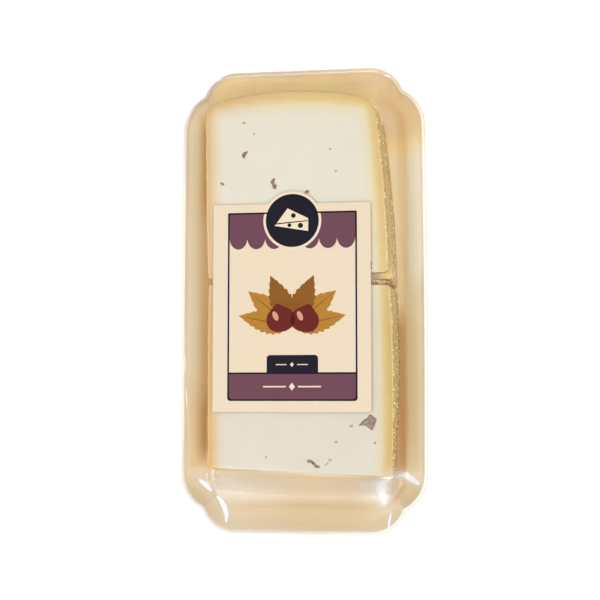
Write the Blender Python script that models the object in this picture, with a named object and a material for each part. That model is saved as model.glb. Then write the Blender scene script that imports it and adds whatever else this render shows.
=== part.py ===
"""A retail pack of sliced raclette cheese, in metres, +Z up.

The pack is a thermoformed tray, ten cheese slices in two stacks end to end, a clear skin film
drawn down over them and sealed to the rim, and a paper label on the film. X runs across the
tray and Y along it. The origin is under the middle of the tray, on the surface it stands on.
"""

import bmesh
import bpy
import numpy as np

# Tray, over its rim. Two basins share one floor: one is wide and short, the other narrow and long.
RIM_WIDTH = 0.106
RIM_LENGTH = 0.2002
TRAY_HEIGHT = 0.015
SHEET = 0.0006
LIP_WIDTH = 0.0014
LIP_DEPTH = 0.0008
SIDE_INSET = 0.0085
END_INSET = 0.0083
WIDE_CORNER = 0.0175
LONG_CORNER = 0.0155
SIDE_BOW = 0.0005
FLOOR_WIDTH = 0.0846
FLOOR_LENGTH = 0.1766
FLOOR_CORNER = 0.012
FLOOR_FILLET = 0.004
LEAST_INSET = 0.0001

# Points on each outline
ARC_STEPS = 6
SIDE_POINTS = 5
END_POINTS = 3
FILLET_STEPS = 3

# Slices, and the clearance kept where pieces touch
GAP = 0.0003
SLICE_THICKNESS = 0.0046
SLICES_IN_STACK = 5
EDGE_ROUND = 0.0004
JITTER = 0.00025

# Share of the way from the top slice's place to the bottom slice's, bottom slice first
SLIP = (1.0, 0.88, 0.74, 0.6, 0.0)

# Corners of the top and bottom slices: left low, right low, right high, left high, seen from above
UPPER_TOP = ((-0.0393, 0.0078), (0.0371, 0.0099), (0.0318, 0.0832), (-0.0407, 0.0826))
UPPER_BOTTOM = ((-0.0374, 0.0058), (0.0399, 0.0051), (0.0342, 0.0812), (-0.0392, 0.0806))
LOWER_TOP = ((-0.0389, -0.0717), (0.0384, -0.0749), (0.0377, 0.0046), (-0.0390, 0.0057))
LOWER_BOTTOM = ((-0.0389, -0.0730), (0.0386, -0.0746), (0.0401, 0.0032), (-0.0376, 0.0040))
CUT_CORNER = 0.0012
RIND_CORNER = 0.006
RIND_BOW = 0.0052
RIGHT_BOW = 0.0012
LEFT_BOW = 0.0003

# Film and label
FILM = 0.0003
FILM_CLEAR = 0.00035
LABEL_THICKNESS = 0.0003
LABEL_WIDTH = 0.0670
LABEL_LENGTH = 0.0878
LABEL_CENTRE = (-0.0033, -0.0045)
LABEL_CORNER = 0.0006
BADGE_CENTRE = (-0.0029, 0.0322)
BADGE_RADIUS = 0.0125
BADGE_STEPS = 14

WALL_HEIGHT = TRAY_HEIGHT - SHEET
WALL_RUN = RIM_WIDTH / 2 - LIP_WIDTH - FLOOR_WIDTH / 2
WALL_SLOPE = np.arctan2(WALL_HEIGHT, WALL_RUN)
SHEET_ACROSS = SHEET / np.sin(WALL_SLOPE)
STACK_TOP = SHEET + SLICES_IN_STACK * (GAP + SLICE_THICKNESS)


def mix(a, b, share):
    """The value that lies this share of the way from a to b."""
    return a + (b - a) * share


def basin_sizes(level, grow):
    """Half sizes and corner radii of the wide and the long basin, 0 at the floor and 1 at the rim."""
    half_width = mix(FLOOR_WIDTH / 2, RIM_WIDTH / 2 - LIP_WIDTH, level) + grow
    half_length = mix(FLOOR_LENGTH / 2, RIM_LENGTH / 2 - LIP_WIDTH, level) + grow
    side_inset = np.maximum(level, 0) * SIDE_INSET + LEAST_INSET
    end_inset = np.maximum(level, 0) * END_INSET + LEAST_INSET
    wide = (half_width, half_length - end_inset, mix(FLOOR_CORNER, WIDE_CORNER - LIP_WIDTH, level) + grow)
    long = (half_width - side_inset, half_length, mix(FLOOR_CORNER, LONG_CORNER - LIP_WIDTH, level) + grow)
    return wide, long


def lobed_ring(level, grow=0.0):
    """Plan outline of both basins together: each corner is two arcs that meet in a notch."""
    (wide_x, wide_y, wide_r), (long_x, long_y, long_r) = basin_sizes(level, grow)
    wide_centre = np.array([wide_x - wide_r, wide_y - wide_r])
    long_centre = np.array([long_x - long_r, long_y - long_r])
    apart = long_centre - wide_centre
    distance = np.hypot(*apart)
    along = apart / distance
    outward = np.array([along[1], -along[0]])
    reach = (wide_r**2 - long_r**2 + distance**2) / (2 * distance)
    notch = wide_centre + along * reach + outward * np.sqrt(wide_r**2 - reach**2)
    wide_end = np.arctan2(*(notch - wide_centre)[::-1])
    long_start = np.arctan2(*(notch - long_centre)[::-1])
    wide_turn = np.linspace(0, wide_end, ARC_STEPS + 1)
    long_turn = np.linspace(long_start, np.pi / 2, ARC_STEPS + 1)[1:]
    wide_arc = wide_centre + wide_r * np.stack([np.cos(wide_turn), np.sin(wide_turn)], 1)
    long_arc = long_centre + long_r * np.stack([np.cos(long_turn), np.sin(long_turn)], 1)
    quarter = np.concatenate([wide_arc, long_arc])
    end_x = np.linspace(quarter[-1, 0], -quarter[-1, 0], END_POINTS + 2)[1:-1]
    end = np.stack([end_x, np.full(END_POINTS, quarter[-1, 1])], 1)
    share = np.linspace(1, -1, SIDE_POINTS + 2)[1:-1]
    bow = SIDE_BOW * np.clip(level, 0, 1) * (1 - share**2)
    side = np.stack([-(quarter[0, 0] + bow), share * quarter[0, 1]], 1)
    half = np.concatenate([quarter, end, (quarter * (-1, 1))[::-1], side])
    return np.concatenate([half, -half])


def basin_level(points):
    """The wall level at plan points, found by halving, as the level whose outline passes through each."""
    x, y = np.abs(points[:, 0]), np.abs(points[:, 1])
    levels = []
    for which in (0, 1):
        low, high = np.full(len(x), -1.5), np.full(len(x), 1.5)
        for _ in range(40):
            middle = (low + high) / 2
            half_x, half_y, radius = basin_sizes(middle, 0.0)[which]
            bow = SIDE_BOW * np.clip(middle, 0, 1) * np.clip(1 - (y / (half_y - radius)) ** 2, 0, 1)
            over_x, over_y = x - bow - (half_x - radius), y - (half_y - radius)
            corner = np.hypot(np.maximum(over_x, 0), np.maximum(over_y, 0))
            outside = corner + np.minimum(np.maximum(over_x, over_y), 0) > radius
            low, high = np.where(outside, middle, low), np.where(outside, high, middle)
        levels.append((low + high) / 2)
    return np.minimum(*levels)


def basin_height(points):
    """Height of the tray's inner face at plan points: floor, fillet and wall."""
    run = basin_level(points) * WALL_RUN
    tangent = FLOOR_FILLET * np.tan(WALL_SLOPE / 2)
    wall = run * np.tan(WALL_SLOPE)
    into = np.clip(run + tangent, 0, FLOOR_FILLET)
    fillet = FLOOR_FILLET - np.sqrt(FLOOR_FILLET**2 - into**2)
    return SHEET + np.where(run > tangent * np.cos(WALL_SLOPE), wall, fillet)


def fillet_rings(radius, base, grow):
    """Rings of the rounded foot between a floor at height base and the sloping wall."""
    tangent = radius * np.tan(WALL_SLOPE / 2)
    rings = []
    for turn in np.linspace(0, WALL_SLOPE, FILLET_STEPS + 1):
        rise = radius * (1 - np.cos(turn))
        shift = radius * np.sin(turn) - tangent - rise / np.tan(WALL_SLOPE)
        level = (base + rise - SHEET) / WALL_HEIGHT
        rings.append(raised(lobed_ring(level, grow + shift), base + rise))
    return rings


def raised(ring, height):
    """A plan ring lifted to a height, one number or one for each point."""
    return np.column_stack([ring, np.broadcast_to(height, len(ring))])


def loft(name, rings, material):
    """A closed solid through rings of equal length, with a flat cap on the first and the last."""
    mesh = bmesh.new()
    rows = [[mesh.verts.new(point) for point in ring] for ring in rings]
    count = len(rows[0])
    for below, above in zip(rows[:-1], rows[1:]):
        for k in range(count):
            after = (k + 1) % count
            mesh.faces.new((below[k], below[after], above[after], above[k]))
    mesh.faces.new(rows[0][::-1])
    mesh.faces.new(rows[-1])
    bmesh.ops.recalc_face_normals(mesh, faces=mesh.faces)
    data = bpy.data.meshes.new(name)
    mesh.to_mesh(data)
    mesh.free()
    data.materials.append(material)
    data.shade_smooth()
    data.set_sharp_from_angle(angle=np.radians(35))
    piece = bpy.data.objects.new(name, data)
    bpy.context.scene.collection.objects.link(piece)
    return piece


def finish(name, colour, roughness, alpha=1.0):
    """A Principled material for one sub-part."""
    material = bpy.data.materials.new(name)
    material.use_nodes = True
    shader = material.node_tree.nodes["Principled BSDF"]
    shader.inputs["Base Color"].default_value = (*colour, 1.0)
    shader.inputs["Roughness"].default_value = roughness
    shader.inputs["Metallic"].default_value = 0.0
    shader.inputs["Alpha"].default_value = alpha
    material.diffuse_color = (*colour, alpha)
    return material


def build_tray(material):
    """The inner face from floor to lip, over the rolled lip, and down the outer face."""
    lip_level = 1 - LIP_DEPTH / 2 / WALL_HEIGHT
    under = TRAY_HEIGHT - LIP_DEPTH
    inner = fillet_rings(FLOOR_FILLET, SHEET, 0.0)
    lip = [
        raised(lobed_ring(lip_level), TRAY_HEIGHT - LIP_DEPTH / 2),
        raised(lobed_ring(1.0, LIP_WIDTH * 0.2), TRAY_HEIGHT),
        raised(lobed_ring(1.0, LIP_WIDTH * 0.8), TRAY_HEIGHT),
        raised(lobed_ring(1.0, LIP_WIDTH), TRAY_HEIGHT - LIP_DEPTH * 0.3),
        raised(lobed_ring(1.0, LIP_WIDTH), under),
        raised(lobed_ring((under - SHEET) / WALL_HEIGHT, SHEET_ACROSS), under),
    ]
    outer = fillet_rings(FLOOR_FILLET + SHEET, 0.0, SHEET_ACROSS)[::-1]
    return loft("tray", inner + lip + outer, material)


def slice_outline(corners, round_low, round_high, bow_high):
    """A rounded rectangle bent onto four corners, with bowed rind sides and a bowed high end."""
    low_left, low_right, high_right, high_left = np.array(corners)
    width = np.hypot(*(low_right - low_left))
    length = np.hypot(*(high_left - low_left))

    def corner(x, y, radius, start, steps):
        turn = np.radians(np.linspace(start, start + 90, steps + 1))
        return np.stack([x + radius * np.cos(turn), y + radius * np.sin(turn)], 1)

    def edge(a, b, points):
        share = np.linspace(0, 1, points + 2)[1:-1, None]
        return mix(np.array(a), np.array(b), share)

    low, high = round_low, round_high
    flat = np.concatenate(
        [
            corner(width - low, low, low, -90, 2),
            edge((width, low), (width, length - high), 4),
            corner(width - high, length - high, high, 0, 4),
            edge((width - high, length), (high, length), 5),
            corner(high, length - high, high, 90, 4),
            edge((0, length - high), (0, low), 4),
            corner(low, low, low, 180, 2),
        ]
    )
    across, along = (flat / (width, length)).T
    u, v = across[:, None], along[:, None]
    bent = mix(mix(low_left, low_right, u), mix(high_left, high_right, u), v)
    side = 4 * along * (1 - along)
    bent[:, 0] += side * (RIGHT_BOW * across - LEFT_BOW * (1 - across))
    bent[:, 1] += bow_high * 4 * across * (1 - across) * along**4
    return bent


def slice_outlines():
    """Outlines of all slices by name, with the height of each slice's underside."""
    draw = np.random.default_rng(7)
    found = {}
    stacks = (
        ("upper_slice", UPPER_TOP, UPPER_BOTTOM, RIND_CORNER, RIND_BOW),
        ("lower_slice", LOWER_TOP, LOWER_BOTTOM, CUT_CORNER, 0.0),
    )
    for name, top, bottom, corner, bow in stacks:
        for k, slip in enumerate(SLIP):
            corners = mix(np.array(top), np.array(bottom), slip)
            if k < SLICES_IN_STACK - 1:
                corners = corners + draw.uniform(-JITTER, JITTER, (4, 2))
            base = SHEET + GAP + k * (SLICE_THICKNESS + GAP)
            found[f"{name}_{k + 1}"] = (slice_outline(corners, CUT_CORNER, corner, bow), base)
    return found


def build_slice(name, outline, base, material):
    """A flat slab whose upper and lower edges are slightly rounded."""
    centre = outline.mean(0)
    reach = np.abs(outline - centre).max(0)
    tucked = centre + (outline - centre) * (1 - EDGE_ROUND / reach)
    top = base + SLICE_THICKNESS
    rings = [
        raised(tucked, base),
        raised(outline, base + EDGE_ROUND),
        raised(outline, top - EDGE_ROUND),
        raised(tucked, top),
    ]
    return loft(name, rings, material)


def hull_ring(outlines, directions, margin):
    """Plan ring round all slices: the farthest crossing of each direction, moved out by a margin."""
    starts = np.concatenate(outlines)
    ends = np.concatenate([np.roll(outline, -1, 0) for outline in outlines])
    unit = directions / np.linalg.norm(directions, axis=1, keepdims=True)
    run = ends - starts
    cross = unit[:, None, 0] * run[None, :, 1] - unit[:, None, 1] * run[None, :, 0]
    cross = np.where(np.abs(cross) < 1e-12, 1e-12, cross)
    reach = (starts[:, 0] * run[:, 1] - starts[:, 1] * run[:, 0])[None] / cross
    share = (starts[None, :, 0] * unit[:, None, 1] - starts[None, :, 1] * unit[:, None, 0]) / cross
    hit = (reach > 0) & (share >= 0) & (share <= 1)
    farthest = np.where(hit, reach, 0).max(1)
    return unit * (farthest + margin)[:, None]


def build_film(outlines, material):
    """The skin: flat over the stacks, down their sides, over the floor and walls, onto the lip."""
    directions = lobed_ring(1.0)
    top = STACK_TOP + FILM_CLEAR

    def hull(margin):
        return hull_ring(outlines, directions, margin)

    def on_basin(plan, lift):
        return raised(plan, basin_height(plan) + lift)

    def side(extra):
        """One face of the film, moved off the slices and the tray by extra."""
        foot = hull(0.0024 + extra)
        wall = lobed_ring(0.36, -0.0004 - extra * 0.8)
        rings = [
            raised(hull(-0.0012), top + extra),
            raised(hull(0.0007 + extra), top - 0.0003 + extra),
            raised(hull(0.0010 + extra), 0.6 * STACK_TOP),
        ]
        rings.append(on_basin(hull(0.0013 + extra), 0.0016 + extra))
        rings.append(on_basin(foot, 0.0006 + extra))
        for share in (0.35, 0.7, 1.0):
            rings.append(on_basin(mix(foot, wall, share), 0.0006 + extra))
        for level in (0.65, 0.93):
            height = SHEET + level * WALL_HEIGHT + 0.0003 + extra * 0.6
            rings.append(raised(lobed_ring(level, -0.0004 - extra * 0.8), height))
        rings.append(raised(lobed_ring(1.0, 0.0), TRAY_HEIGHT + FILM_CLEAR + extra))
        rings.append(raised(lobed_ring(1.0, LIP_WIDTH * 0.75), TRAY_HEIGHT + FILM_CLEAR + extra))
        return rings

    lower, upper = side(0.0), side(FILM)
    return loft("film", lower + upper[::-1], material)


def label_outline():
    """A rectangle with a round shoulder where the badge stands over its upper edge."""
    low = np.array(LABEL_CENTRE) - (LABEL_WIDTH / 2, LABEL_LENGTH / 2)
    high = np.array(LABEL_CENTRE) + (LABEL_WIDTH / 2, LABEL_LENGTH / 2)
    cut = LABEL_CORNER
    rise = (high[1] - BADGE_CENTRE[1]) / BADGE_RADIUS
    turn = np.linspace(np.arcsin(rise), np.pi - np.arcsin(rise), BADGE_STEPS + 1)
    badge = np.array(BADGE_CENTRE) + BADGE_RADIUS * np.stack([np.cos(turn), np.sin(turn)], 1)
    points = [
        (low[0] + cut, low[1]),
        (high[0] - cut, low[1]),
        (high[0], low[1] + cut),
        (high[0], high[1] - cut),
        (high[0] - cut, high[1]),
        *badge,
        (low[0] + cut, high[1]),
        (low[0], high[1] - cut),
        (low[0], low[1] + cut),
    ]
    return np.array(points)


def build_label(material):
    """A thin paper sheet lying on the film."""
    outline = label_outline()
    base = STACK_TOP + FILM_CLEAR + FILM + GAP
    return loft("label", [raised(outline, base), raised(outline, base + LABEL_THICKNESS)], material)


def build():
    """Clears the scene and models the pack."""
    for piece in list(bpy.data.objects):
        bpy.data.objects.remove(piece)
    plastic = finish("tray_plastic", (0.72, 0.54, 0.32), 0.3)
    cheese = finish("cheese", (0.80, 0.70, 0.47), 0.5)
    clear = finish("clear_film", (0.95, 0.95, 0.95), 0.08, alpha=0.2)
    paper = finish("label_paper", (0.88, 0.76, 0.55), 0.6)
    slices = slice_outlines()
    build_tray(plastic)
    for name, (outline, base) in slices.items():
        build_slice(name, outline, base, cheese)
    build_film([outline for outline, _ in slices.values()], clear)
    build_label(paper)


build()
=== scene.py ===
# %% [markdown]
# # A retail pack of sliced cheese
#
# A pale tray with lobed corners holds ten slices of cheese in two stacks, end to end. A clear skin
# film is drawn down over them and sealed to the tray's lip, and a paper label lies on the film.
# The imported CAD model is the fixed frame. Each piece below is worked out again with numpy, finer
# than the solid that it stands for, and in the same place.

# %% Load the frame
from itertools import combinations

import bpy
import numpy as np
from mathutils import Matrix, Vector
from mathutils.bvhtree import BVHTree


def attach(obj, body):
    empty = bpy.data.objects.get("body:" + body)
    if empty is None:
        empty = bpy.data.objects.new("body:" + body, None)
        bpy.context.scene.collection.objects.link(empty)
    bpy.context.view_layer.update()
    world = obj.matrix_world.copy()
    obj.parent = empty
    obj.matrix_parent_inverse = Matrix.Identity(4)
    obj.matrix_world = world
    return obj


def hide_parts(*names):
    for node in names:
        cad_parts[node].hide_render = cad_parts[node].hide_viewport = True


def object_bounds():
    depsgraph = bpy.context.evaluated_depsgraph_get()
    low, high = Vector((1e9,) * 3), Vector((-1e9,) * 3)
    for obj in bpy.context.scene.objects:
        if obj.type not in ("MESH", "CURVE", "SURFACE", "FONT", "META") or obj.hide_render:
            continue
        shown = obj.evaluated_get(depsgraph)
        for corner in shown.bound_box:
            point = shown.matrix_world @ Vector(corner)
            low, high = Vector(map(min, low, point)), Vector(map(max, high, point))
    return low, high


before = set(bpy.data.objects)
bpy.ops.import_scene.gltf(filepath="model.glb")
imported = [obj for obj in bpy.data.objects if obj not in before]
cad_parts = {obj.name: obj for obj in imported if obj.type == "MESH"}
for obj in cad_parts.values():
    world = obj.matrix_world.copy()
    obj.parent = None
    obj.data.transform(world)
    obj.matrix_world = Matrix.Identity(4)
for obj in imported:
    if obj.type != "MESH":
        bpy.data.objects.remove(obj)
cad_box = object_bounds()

print("CAD box", [[round(v * 1000, 1) for v in corner] for corner in cad_box])

# %% [markdown]
# ## Camera
#
# The photo looks almost straight down from half a metre, a little from the right and from below the
# picture's middle. The lens and place were found by fitting the tray's outline, so they are numbers
# here. Blender's camera looks along its own -Z, so its three axes are built as a matrix.

# %% Camera at the photo's viewing angle
CAMERA_AT = Vector((0.0640, -0.0420, 0.5000))
LOOKS_AT = Vector((-0.0011, -0.0006, 0.0150))
back = (CAMERA_AT - LOOKS_AT).normalized()
right = Vector((0, 1, 0)).cross(back).normalized()
up = back.cross(right)
camera = bpy.data.objects.new("camera", bpy.data.cameras.new("camera"))
bpy.context.scene.collection.objects.link(camera)
camera.data.lens = 68.61
camera.data.sensor_width = 36.0
camera.data.clip_start = 0.01
camera.matrix_world = Matrix.Translation(CAMERA_AT) @ Matrix((right, up, back)).transposed().to_4x4()
bpy.context.scene.camera = camera
bpy.context.scene.view_settings.view_transform = "Standard"

# %% [markdown]
# ## Helpers
#
# Every piece here is made of closed rings of points: from the middle of its upper face out to the
# edge, and round to the middle of its lower face. One function turns such rings into a mesh, so a
# piece is only a matter of saying where ring number r has its point number k.

# %% Arithmetic helpers
def mix(a, b, share):
    """The value that lies this share of the way from a to b."""
    return a + (b - a) * share


def ease(low, high, value):
    """0 below low, 1 above high, and between them 3t^2 - 2t^3, which starts and ends level."""
    t = np.clip((np.asarray(value, float) - low) / (high - low), 0, 1)
    return t * t * (3 - 2 * t)


def lattice_noise(points, size, seed):
    """Soft noise from -1 to 1: a hashed number at each corner of a lattice, blended with an eased weight."""
    at = np.asarray(points, float) / size
    cell = np.floor(at).astype(np.int64)
    part = at - cell
    part = part * part * (3 - 2 * part)
    primes = np.array([73856093, 19349663, 83492791])[: at.shape[-1]]
    total = np.zeros(at.shape[:-1])
    for corner in np.ndindex(*[2] * at.shape[-1]):
        key = ((cell + corner) * primes).sum(-1) + seed * 7919
        key = (key ^ (key >> 15)) & 0xFFFFFFFF
        key = (key * 747796405 + 2891336453) & 0xFFFFFFFF
        key = (key ^ (key >> 16)) & 0xFFFF
        total += np.where(corner, part, 1 - part).prod(-1) * (key / 32767.5 - 1)
    return total


def rough(points, size, seed, layers=3):
    """Lattice noise added up in layers, each half as large and half as high as the one before."""
    return sum(lattice_noise(points, size / 2**k, seed + k) / 2**k for k in range(layers))


def turned(shape, degrees, centre):
    """A shape turned about the origin, then moved to its centre."""
    spin = np.radians(degrees)
    return shape @ np.array([[np.cos(spin), np.sin(spin)], [-np.sin(spin), np.cos(spin)]]) + np.array(centre)


def reach_of(outlines, unit):
    """How far out in each direction the farthest outline is crossed: the largest solution of ray against edge."""
    starts = np.concatenate(outlines)
    run = np.concatenate([np.roll(outline, -1, 0) for outline in outlines]) - starts
    cross = unit[:, None, 0] * run[None, :, 1] - unit[:, None, 1] * run[None, :, 0]
    cross = np.where(np.abs(cross) < 1e-12, 1e-12, cross)
    reach = (starts[:, 0] * run[:, 1] - starts[:, 1] * run[:, 0])[None] / cross
    share = (starts[None, :, 0] * unit[:, None, 1] - starts[None, :, 1] * unit[:, None, 0]) / cross
    return np.where((reach > 0) & (share >= 0) & (share <= 1), reach, 0).max(1)


# %% Rings to mesh
def raised(ring, height):
    """A plan ring lifted to a height, one number or one for each point."""
    return np.column_stack([ring, np.broadcast_to(height, len(ring))])


def skin(name, grid, material, ends=(True, True), sharp=50):
    """A mesh over rings of points, turned so that its faces point up on the first rings: neighbouring rings are
    joined by four-sided faces, and ends says whether the first and the last ring get a closing face."""
    rows, around = grid.shape[:2]
    number = np.arange(rows * around).reshape(rows, around)
    onward = np.roll(number, -1, 1)
    faces = np.stack([number[:-1], number[1:], onward[1:], onward[:-1]], -1).reshape(-1, 4).tolist()
    faces += [number[0].tolist()] * ends[0] + [number[-1, ::-1].tolist()] * ends[1]
    data = bpy.data.meshes.new(name)
    data.from_pydata(grid.reshape(-1, 3).tolist(), [], faces)
    data.shade_smooth()
    data.set_sharp_from_angle(angle=np.radians(sharp))
    data.materials.append(material)
    piece = bpy.data.objects.new(name, data)
    bpy.context.scene.collection.objects.link(piece)
    return piece


def mark(piece, name, values):
    """A number for each point of a piece, which its material reads as an attribute."""
    layer = piece.data.attributes.new(name, "FLOAT", "POINT")
    layer.data.foreach_set("value", np.asarray(values, np.float32).ravel())


# %% Helpers for materials
WHITE, BLACK = (1.0, 1.0, 1.0, 1.0), (0.0, 0.0, 0.0, 1.0)


def shade(red, green, blue):
    """A colour given as it looks on a screen, 0 to 255, turned into the light that a shader works in."""
    seen = np.array([red, green, blue]) / 255
    light = np.where(seen <= 0.04045, seen / 12.92, ((seen + 0.055) / 1.055) ** 2.4)
    return (*light.tolist(), 1.0)


def tones(*rows):
    """Stops of a colour ramp, from rows of a place and a colour as it looks on a screen."""
    return [(place, shade(*colour)) for place, *colour in rows]


def node(material, kind, sockets=None, **settings):
    """One shader node: settings are its own options, sockets are its inputs, a number or another node's output."""
    made = material.node_tree.nodes.new("ShaderNode" + kind)
    for key, value in settings.items():
        setattr(made, key, value)
    for key, value in (sockets or {}).items():
        if isinstance(value, bpy.types.NodeSocket):
            material.node_tree.links.new(value, made.inputs[key])
        else:
            made.inputs[key].default_value = value
    return made


def math(material, operation, first, second=0.0):
    """The sum, product or other combination of two numbers in a material."""
    return node(material, "Math", {0: first, 1: second}, operation=operation).outputs[0]


def ramp(material, value, stops):
    """A colour that follows a number through these stops, each a place from 0 to 1 and a colour."""
    made = node(material, "ValToRGB", {"Fac": value})
    while len(made.color_ramp.elements) < len(stops):
        made.color_ramp.elements.new(0.5)
    for element, (place, colour) in zip(made.color_ramp.elements, stops):
        element.position = place
        element.color = colour
    return made.outputs["Color"]


def blend(material, share, first, second, kind="MIX"):
    """Two colours mixed by a share, or multiplied with kind MULTIPLY."""
    made = node(material, "Mix", {0: share, 6: first, 7: second}, data_type="RGBA", blend_type=kind)
    return made.outputs[2]


def tint(material, colour, number, *stops):
    """A colour multiplied by a ramp that is white where the number is 0."""
    return blend(material, 1.0, colour, ramp(material, number, [(0.0, WHITE), *stops]), "MULTIPLY")


def toward(material, share, colour, factor):
    """A colour multiplied by a factor, but only by this share of the way."""
    return blend(material, share, colour, blend(material, 1.0, colour, factor, "MULTIPLY"))


def attribute(material, name):
    """The number that the piece carries under this name, at the point that is shaded."""
    return node(material, "Attribute", attribute_name=name).outputs["Fac"]


def noise(material, scale, detail=2.0, roughness=0.5):
    """Noise in the piece's own coordinates, mostly from 0.3 to 0.7. The scale is in cells for each metre."""
    sockets = {"Vector": node(material, "TexCoord").outputs["Object"], "Scale": scale, "Detail": detail}
    return node(material, "TexNoise", {**sockets, "Roughness": roughness}).outputs["Fac"]


def dented(material, height, strength, distance):
    """The direction that a surface faces if the height stands on it as relief."""
    return node(material, "Bump", {"Strength": strength, "Distance": distance, "Height": height}).outputs["Normal"]


def new_finish(name, **constants):
    """A material with one Principled shader, and the numbers that are the same all over it."""
    material = bpy.data.materials.new(name)
    material.use_nodes = True
    shader = material.node_tree.nodes["Principled BSDF"]
    for key, value in constants.items():
        shader.inputs[key.replace("_", " ")].default_value = value
    return material, shader


def wire(material, shader, **outputs):
    """Links node outputs to the Principled shader's sockets."""
    for key, output in outputs.items():
        material.node_tree.links.new(output, shader.inputs[key.replace("_", " ")])


# %% [markdown]
# ## Studio
#
# The photo's ground is plain white and its light is even, with small bright strokes where the film
# folds. Large soft boxes stand round the pack, low enough that the flat film over the label mirrors
# none of them to the camera, while its sloping parts do. The strokes on the folds are a painted
# highlight.

# %% Floor, soft boxes and sky
floor_paint, floor_shader = new_finish("white_ground", Roughness=0.9)
floor_shader.inputs["Specular IOR Level"].default_value = 0.0
floor_shader.inputs["Emission Color"].default_value = (1.0, 1.0, 1.0, 1.0)
floor_shader.inputs["Emission Strength"].default_value = 0.3
ground_tone = node(floor_paint, "TexNoise", {"Scale": 3.0, "Detail": 1.0}).outputs["Fac"]
ground_tones = [(0, (0.88, 0.88, 0.88, 1)), (1, (0.9, 0.9, 0.9, 1))]
wire(floor_paint, floor_shader, Base_Color=ramp(floor_paint, ground_tone, ground_tones))
floor_data = bpy.data.meshes.new("floor")
floor_data.from_pydata([(-3, -3, 0), (3, -3, 0), (3, 3, 0), (-3, 3, 0)], [], [(0, 1, 2, 3)])
floor_data.materials.append(floor_paint)
floor = bpy.data.objects.new("floor", floor_data)
bpy.context.scene.collection.objects.link(floor)


def soft_box(name, azimuth, polar, distance, width, height, power):
    """A rectangular area light on a dome round the pack, facing it: azimuth from +X, polar angle from straight up."""
    turn, tilt = np.radians(azimuth), np.radians(polar)
    place = Vector((np.cos(turn) * np.sin(tilt), np.sin(turn) * np.sin(tilt), np.cos(tilt))) * distance
    light = bpy.data.lights.new(name, "AREA")
    light.shape = "RECTANGLE"
    light.size, light.size_y, light.energy = width, height, power
    lamp = bpy.data.objects.new(name, light)
    lamp.matrix_world = Matrix.Translation(place) @ (-place).to_track_quat("-Z", "Y").to_matrix().to_4x4()
    bpy.context.scene.collection.objects.link(lamp)
    return lamp


for name, azimuth, width, height, power in (
    ("box_front", -90, 0.9, 0.35, 2.2),
    ("box_left", 180, 0.9, 0.35, 2.1),
    ("box_right", 0, 0.9, 0.35, 2.1),
    ("box_back", 90, 0.9, 0.35, 0.5),
):
    soft_box(name, azimuth, 34, 1.0, width, height, power)
for name, azimuth, width in (("glint_front", -90, 0.8), ("glint_left", 180, 0.6), ("glint_right", 0, 0.6)):
    soft_box(name, azimuth, 34, 1.0, width, 0.16, 9.0).visible_diffuse = False
world = bpy.data.worlds.new("sky")
bpy.context.scene.world = world
world.use_nodes = True
world.node_tree.nodes["Background"].inputs["Color"].default_value = (1.0, 1.0, 1.0, 1.0)
world.node_tree.nodes["Background"].inputs["Strength"].default_value = 0.76

# %% [markdown]
# ## Tray
#
# The real tray is one sheet of plastic, drawn down hot over a mould. Its plan is two basins with one
# floor, one wide and short, the other narrow and long, so each corner of the rim is two arcs that
# meet in a notch. A curve tool could draw one rim, but the outline changes all the way down the wall.
# So a function gives the outline at any height, and the tray is the stack of those rings, on the
# inside up to the lip and on the outside down again.

# %% Tray sizes, in metres
RIM_WIDTH, RIM_LENGTH, TRAY_HEIGHT, SHEET = 0.106, 0.2002, 0.015, 0.0006
LIP_WIDTH, LIP_DEPTH = 0.0014, 0.0008
SIDE_INSET, END_INSET, WIDE_CORNER, LONG_CORNER, SIDE_BOW = 0.0085, 0.0083, 0.0175, 0.0155, 0.0005
FLOOR_WIDTH, FLOOR_LENGTH, FLOOR_CORNER, FLOOR_FILLET, LEAST_INSET = 0.0846, 0.1766, 0.012, 0.004, 0.0001
ARC_STEPS, SIDE_POINTS, END_POINTS = 52, 120, 60
WALL_HEIGHT = TRAY_HEIGHT - SHEET
WALL_RUN = RIM_WIDTH / 2 - LIP_WIDTH - FLOOR_WIDTH / 2
WALL_SLOPE = np.arctan2(WALL_HEIGHT, WALL_RUN)
SHEET_ACROSS = SHEET / np.sin(WALL_SLOPE)
CAD_HALF_WIDTH, CAD_HALF_LENGTH = cad_box[1][0], cad_box[1][1]


# %% Tray outline at any level
def basin_sizes(level, grow):
    """Half sizes and corner radii of the wide and the long basin, 0 at the floor and 1 at the rim."""
    half_width = mix(FLOOR_WIDTH / 2, RIM_WIDTH / 2 - LIP_WIDTH, level) + grow
    half_length = mix(FLOOR_LENGTH / 2, RIM_LENGTH / 2 - LIP_WIDTH, level) + grow
    side_inset = np.maximum(level, 0) * SIDE_INSET + LEAST_INSET
    end_inset = np.maximum(level, 0) * END_INSET + LEAST_INSET
    wide = (half_width, half_length - end_inset, mix(FLOOR_CORNER, WIDE_CORNER - LIP_WIDTH, level) + grow)
    long = (half_width - side_inset, half_length, mix(FLOOR_CORNER, LONG_CORNER - LIP_WIDTH, level) + grow)
    return wide, long


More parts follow.
